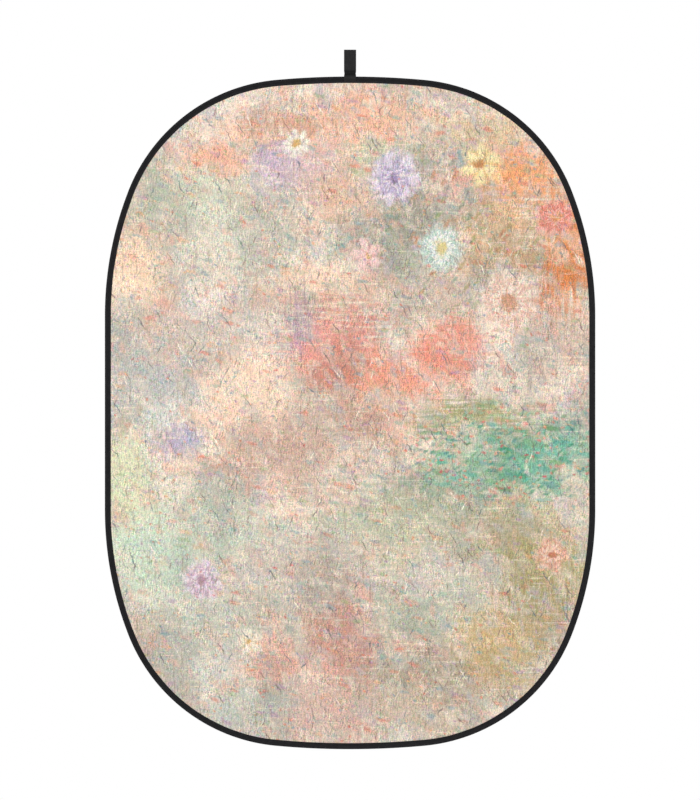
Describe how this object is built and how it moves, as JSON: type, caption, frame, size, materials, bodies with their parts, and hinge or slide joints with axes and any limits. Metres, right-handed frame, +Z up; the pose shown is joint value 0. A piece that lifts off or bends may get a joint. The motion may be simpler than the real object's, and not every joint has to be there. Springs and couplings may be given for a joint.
{
  "type": "collapsible backdrop panel",
  "caption": "Tall oval fabric backdrop panel with a printed face, a plain back, a bound spring-steel rim that folds in half and a webbing hang loop.",
  "frame": {"origin": "centre of the eye at the top of the hang loop, where a hook goes through", "axes": "+Z up along the panel's height, +Y out of the plain back (the printed face looks along -Y), +X along the panel's width and through the loop's eye"},
  "size_m": [1.458, 0.0168, 2.0799],
  "materials": {
    "spring_steel": "satin",
    "ferrule_steel": "satin",
    "rivet_steel": "satin",
    "shrink_wrap": "matte",
    "binding_tape": "matte",
    "printed_cloth": "matte",
    "plain_cloth": "matte",
    "loop_webbing": "matte",
    "thread": "matte"
  },
  "bodies": {
    "hang_loop": {"hang_loop": "loop_webbing", "bar_tack": "thread"},
    "panel_01": {"steel_band_01": "spring_steel", "binding_01": "binding_tape", "front_cloth_01": "printed_cloth", "back_cloth_01": "plain_cloth", "hang_loop_yoke": "loop_webbing", "yoke_stitches": "thread"},
    "panel_02": {"steel_band_02": "spring_steel", "binding_02": "binding_tape", "front_cloth_02": "printed_cloth", "back_cloth_02": "plain_cloth"},
    "panel_03": {"steel_band_03": "spring_steel", "binding_03": "binding_tape", "front_cloth_03": "printed_cloth", "back_cloth_03": "plain_cloth"},
    "panel_04": {"steel_band_04": "spring_steel", "binding_04": "binding_tape", "front_cloth_04": "printed_cloth", "back_cloth_04": "plain_cloth"},
    "panel_05": {"steel_band_05": "spring_steel", "binding_05": "binding_tape", "front_cloth_05": "printed_cloth", "back_cloth_05": "plain_cloth"},
    "panel_06": {"steel_band_06": "spring_steel", "binding_06": "binding_tape", "front_cloth_06": "printed_cloth", "back_cloth_06": "plain_cloth"},
    "panel_07": {"steel_band_07": "spring_steel", "binding_07": "binding_tape", "front_cloth_07": "printed_cloth", "back_cloth_07": "plain_cloth"},
    "panel_08": {"steel_band_08": "spring_steel", "binding_08": "binding_tape", "front_cloth_08": "printed_cloth", "back_cloth_08": "plain_cloth"},
    "panel_09": {"steel_band_09": "spring_steel", "binding_09": "binding_tape", "front_cloth_09": "printed_cloth", "back_cloth_09": "plain_cloth"},
    "panel_10": {"steel_band_10": "spring_steel", "binding_10": "binding_tape", "front_cloth_10": "printed_cloth", "back_cloth_10": "plain_cloth"},
    "panel_11": {"steel_band_11": "spring_steel", "binding_11": "binding_tape", "front_cloth_11": "printed_cloth", "back_cloth_11": "plain_cloth"},
    "panel_12": {"steel_band_12": "spring_steel", "binding_12": "binding_tape", "front_cloth_12": "printed_cloth", "back_cloth_12": "plain_cloth", "band_ferrule": "ferrule_steel", "ferrule_rivets": "rivet_steel", "ferrule_wrap": "shrink_wrap"}
  },
  "joints": [
    {"name": "loop_swing", "type": "hinge", "parent": "hang_loop", "child": "panel_01", "pos_m": [0, 0, -0.0655], "axis": [1, 0, 0], "range_deg": [-110, 110]},
    {"name": "fold_01", "type": "hinge", "parent": "panel_01", "child": "panel_02", "pos_m": [0, 0, -0.34706], "axis": [1, 0, 0], "range_deg": [-23, 23], "stiffness_Nm_per_rad": 1.38},
    {"name": "fold_02", "type": "hinge", "parent": "panel_02", "child": "panel_03", "pos_m": [0, 0, -0.55507], "axis": [1, 0, 0], "range_deg": [-23, 23], "stiffness_Nm_per_rad": 1.86},
    {"name": "fold_03", "type": "hinge", "parent": "panel_03", "child": "panel_04", "pos_m": [0, 0, -0.70621], "axis": [1, 0, 0], "range_deg": [-23, 23], "stiffness_Nm_per_rad": 2.37},
    {"name": "fold_04", "type": "hinge", "parent": "panel_04", "child": "panel_05", "pos_m": [0, 0, -0.83657], "axis": [1, 0, 0], "range_deg": [-23, 23], "stiffness_Nm_per_rad": 2.66},
    {"name": "fold_05", "type": "hinge", "parent": "panel_05", "child": "panel_06", "pos_m": [0, 0, -0.9571], "axis": [1, 0, 0], "range_deg": [-23, 23], "stiffness_Nm_per_rad": 2.81},
    {"name": "fold_06", "type": "hinge", "parent": "panel_06", "child": "panel_07", "pos_m": [0, 0, -1.0735], "axis": [1, 0, 0], "range_deg": [-23, 23], "stiffness_Nm_per_rad": 2.86},
    {"name": "fold_07", "type": "hinge", "parent": "panel_07", "child": "panel_08", "pos_m": [0, 0, -1.1899], "axis": [1, 0, 0], "range_deg": [-23, 23], "stiffness_Nm_per_rad": 2.81},
    {"name": "fold_08", "type": "hinge", "parent": "panel_08", "child": "panel_09", "pos_m": [0, 0, -1.31043], "axis": [1, 0, 0], "range_deg": [-23, 23], "stiffness_Nm_per_rad": 2.66},
    {"name": "fold_09", "type": "hinge", "parent": "panel_09", "child": "panel_10", "pos_m": [0, 0, -1.44079], "axis": [1, 0, 0], "range_deg": [-23, 23], "stiffness_Nm_per_rad": 2.37},
    {"name": "fold_10", "type": "hinge", "parent": "panel_10", "child": "panel_11", "pos_m": [0, 0, -1.59193], "axis": [1, 0, 0], "range_deg": [-23, 23], "stiffness_Nm_per_rad": 1.86},
    {"name": "fold_11", "type": "hinge", "parent": "panel_11", "child": "panel_12", "pos_m": [0, 0, -1.79994], "axis": [1, 0, 0], "range_deg": [-23, 23], "stiffness_Nm_per_rad": 1.38}
  ],
  "couplings": [
    {"joint": "fold_02", "follows": "fold_01", "ratio": 1},
    {"joint": "fold_03", "follows": "fold_01", "ratio": 1},
    {"joint": "fold_04", "follows": "fold_01", "ratio": 1},
    {"joint": "fold_05", "follows": "fold_01", "ratio": 1},
    {"joint": "fold_06", "follows": "fold_01", "ratio": 1},
    {"joint": "fold_07", "follows": "fold_01", "ratio": 1},
    {"joint": "fold_08", "follows": "fold_01", "ratio": 1},
    {"joint": "fold_09", "follows": "fold_01", "ratio": 1},
    {"joint": "fold_10", "follows": "fold_01", "ratio": 1},
    {"joint": "fold_11", "follows": "fold_01", "ratio": 1}
  ]
}
